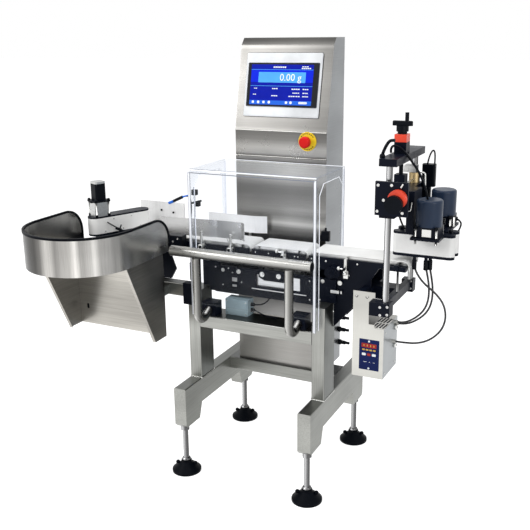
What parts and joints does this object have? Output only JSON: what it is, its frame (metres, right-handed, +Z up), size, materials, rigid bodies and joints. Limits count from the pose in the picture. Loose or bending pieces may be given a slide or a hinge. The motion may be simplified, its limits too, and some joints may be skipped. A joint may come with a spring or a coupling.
{
  "type": "checkweigher",
  "caption": "Checkweigher with infeed, weighing and outfeed belts, clear wind cover, side grippers on a mast, sorting arm, reject chute and a column with a screen.",
  "frame": {"origin": "middle of the bounding box on the floor", "axes": "+X right along the line, from the outfeed to the infeed, seen from the front; +Y to the back; +Z up"},
  "size_m": [1.4034, 0.9605, 1.615],
  "materials": {
    "stainless": "satin",
    "dark_metal": "satin",
    "chrome": "polished",
    "bright_metal": "satin",
    "belt_white": "matte",
    "grip_belt": "matte",
    "black_plastic": "satin",
    "black_rubber": "matte",
    "clear_sheet": "gloss",
    "white_plastic": "satin",
    "box_plastic": "satin",
    "motor_paint": "satin",
    "orange_plastic": "gloss",
    "screen_face": "gloss",
    "yellow_plastic": "satin",
    "red_plastic": "gloss"
  },
  "bodies": {
    "machine": {"base_beams": "stainless", "posts": "stainless", "cross_members": "stainless", "foot_pads": "dark_metal", "foot_stems": "chrome", "column_cabinet": "stainless", "screen_bezel": "white_plastic", "touch_screen": "screen_face", "stop_button_plate": "yellow_plastic", "conveyor_belts": "belt_white", "belt_rollers": "bright_metal", "belt_beds": "bright_metal", "weigh_frame": "dark_metal", "infeed_frame": "dark_metal", "outfeed_frame": "dark_metal", "weigh_base": "dark_metal", "weighing_cell": "bright_metal", "junction_box": "box_plastic", "conveyor_brackets": "dark_metal", "hand_rail": "stainless", "stand_clamps": "dark_metal", "cover_ends": "clear_sheet", "cover_sheet": "clear_sheet", "product_guides": "stainless", "guide_brackets": "bright_metal", "sorting_arm_body": "dark_metal", "sorting_arm_belt": "grip_belt", "sorting_arm_castings": "bright_metal", "sorting_arm_motor": "black_plastic", "chute_box": "stainless", "chute_support": "stainless", "guard_band": "stainless", "guard_trim": "black_rubber", "mast_foot": "dark_metal", "mast_poles": "chrome", "mast_bridge": "dark_metal", "height_counter": "orange_plastic", "speed_controller": "stainless", "cable_loop": "black_rubber", "cable_near": "black_rubber", "cable_far": "black_rubber"},
    "gripper_head": {"grip_carriage": "dark_metal", "pole_bush": "bright_metal", "cable_canister": "black_plastic", "width_counter": "orange_plastic", "grip_bodies": "dark_metal", "grip_belts": "grip_belt", "motor_gearboxes": "dark_metal", "grip_motors": "motor_paint"},
    "lift_crank": {"lift_crank": "black_plastic"},
    "width_wheel": {"width_wheel": "black_plastic"},
    "stop_button": {"stop_button": "red_plastic"}
  },
  "joints": [
    {"name": "head_slide", "type": "slide", "parent": "machine", "child": "gripper_head", "axis": [0, 0, 1], "range_m": [0, 0.025]},
    {"name": "crank_turn", "type": "hinge", "parent": "machine", "child": "lift_crank", "pos_m": [0.51675, 0.11525, 1.3], "axis": [0, 0, 1], "range_deg": [0, 2250]},
    {"name": "wheel_turn", "type": "hinge", "parent": "gripper_head", "child": "width_wheel", "pos_m": [0.54975, -0.04675, 1.114], "axis": [0, 1, 0], "continuous": true},
    {"name": "stop_press", "type": "slide", "parent": "machine", "child": "stop_button", "axis": [0, 1, 0], "range_m": [0, 0.004], "stiffness_N_per_m": 1000}
  ],
  "couplings": [
    {"joint": "crank_turn", "follows": "head_slide", "rad_per_m": 1570.8}
  ]
}
